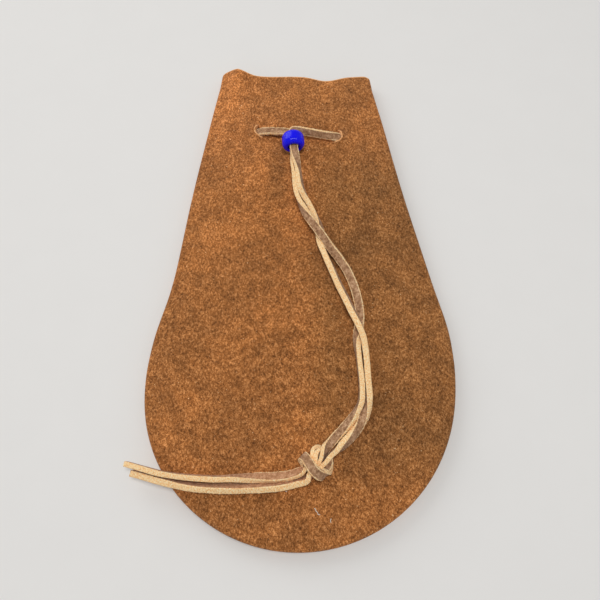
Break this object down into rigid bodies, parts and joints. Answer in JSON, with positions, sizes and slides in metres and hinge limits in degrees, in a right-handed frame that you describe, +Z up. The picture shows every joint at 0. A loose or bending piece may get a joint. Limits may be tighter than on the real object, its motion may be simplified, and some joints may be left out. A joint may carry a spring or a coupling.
{
  "type": "beaded medicine bag",
  "caption": "Flat suede drawstring pouch with a round bottom and a narrow neck, closed by a leather lace whose ends run through a glossy blue bead and end in a knot.",
  "frame": {"origin": "middle of the bag's box, on the surface that the bag lies on", "axes": "+Y towards the mouth, +X to the right seen from above with the mouth away, +Z up through the front panel"},
  "size_m": [0.1145, 0.1956, 0.0181],
  "materials": {
    "suede": "napped brown suede, matte",
    "lace_leather": "grey-brown napped faces, pale tan cut edges, matte",
    "blue_bead": "glossy moulded plastic",
    "thread": "fine waxed thread"
  },
  "bodies": {
    "bag": {"front_panel": "suede", "back_panel": "suede", "drawstring_lace": "lace_leather"},
    "bead_body": {"bead": "blue_bead"}
  },
  "joints": [
    {"name": "bead_slide", "type": "slide", "parent": "bag", "child": "bead_body", "axis": [0.0872, -0.9962, 0], "range_m": [0, 0.012]}
  ]
}
